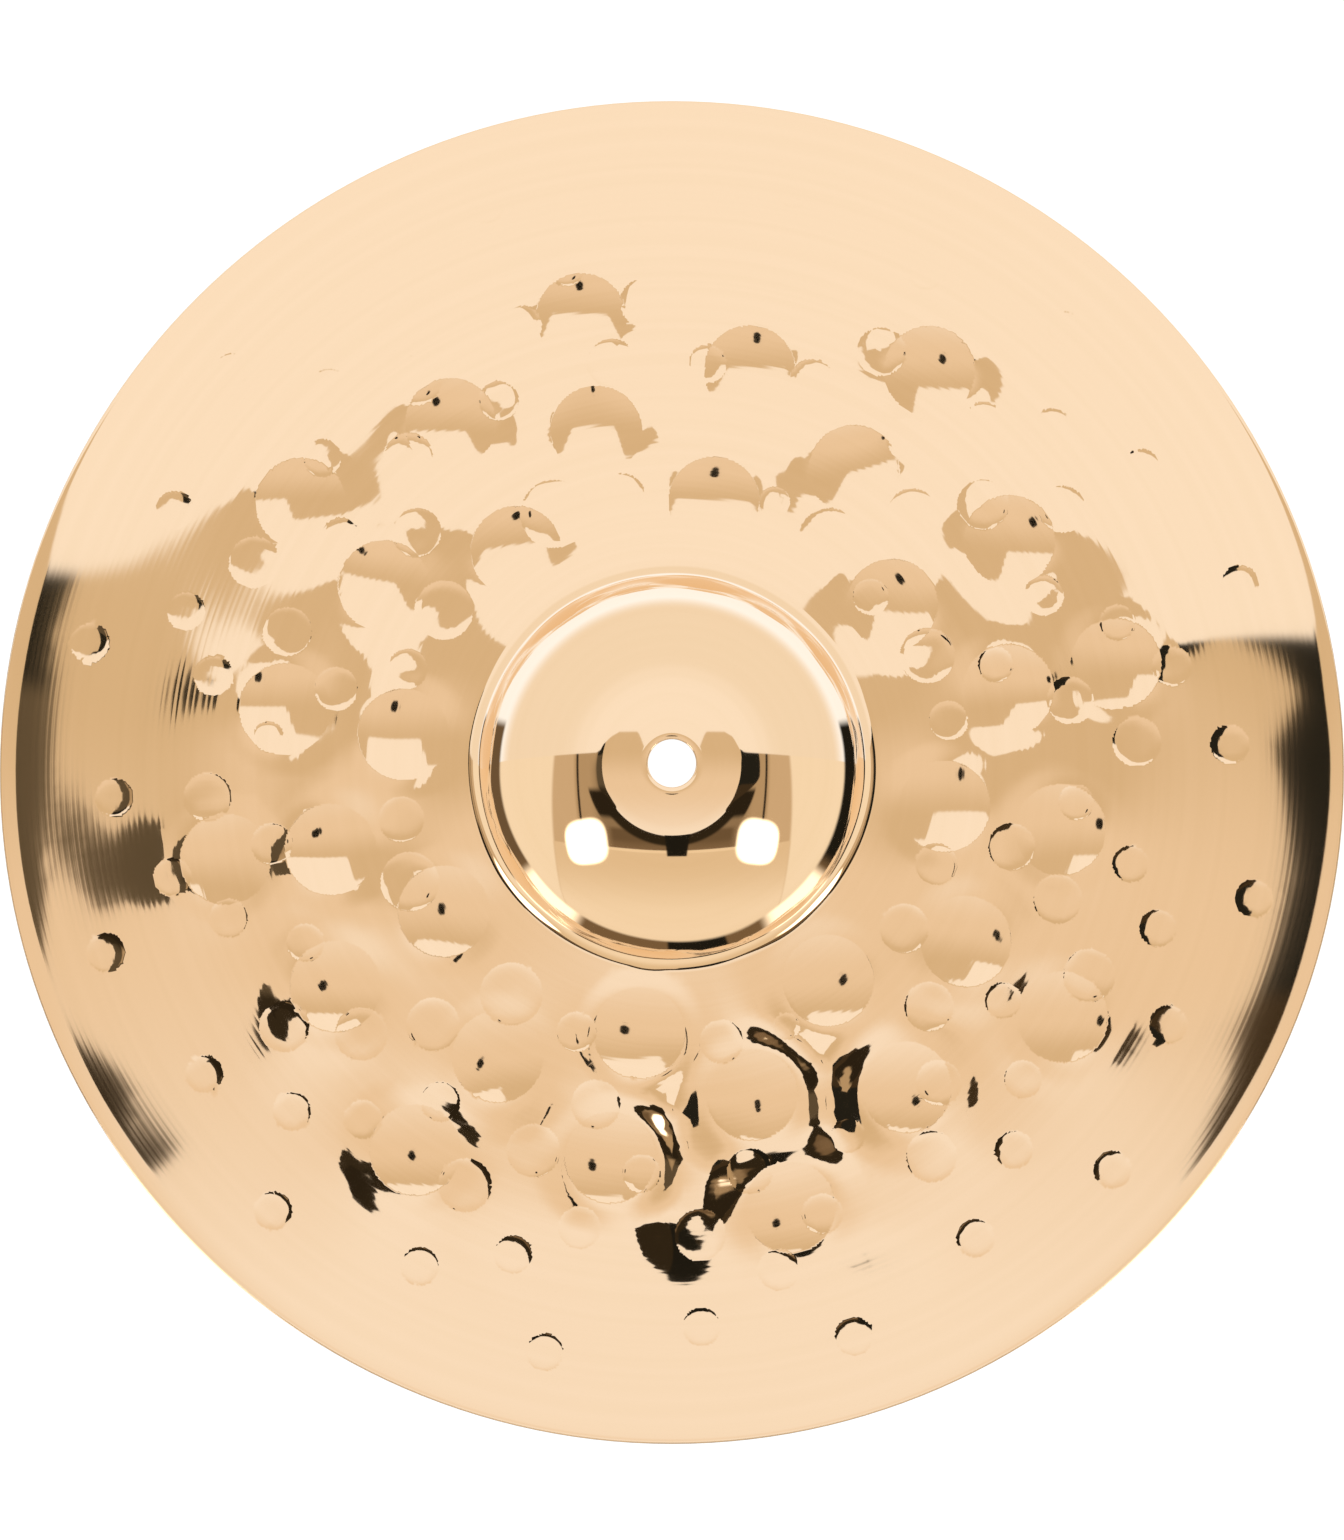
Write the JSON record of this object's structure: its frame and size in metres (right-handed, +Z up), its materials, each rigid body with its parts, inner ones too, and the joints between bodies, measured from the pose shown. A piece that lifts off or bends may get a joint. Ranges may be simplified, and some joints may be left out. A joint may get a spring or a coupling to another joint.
{
  "type": "crash cymbal",
  "caption": "Round bronze crash cymbal with a domed bell, hammered bow, flatter rim lip and central stand hole.",
  "frame": {"origin": "on the disc's axis, in the plane of the rim's lower edge", "axes": "+Z up through the bell, +X and +Y across the disc"},
  "size_m": [0.356, 0.356, 0.0405],
  "materials": {
    "bronze": "polished, lathed and hammered bronze"
  },
  "bodies": {
    "root": {"cymbal": "bronze"}
  },
  "joints": []
}
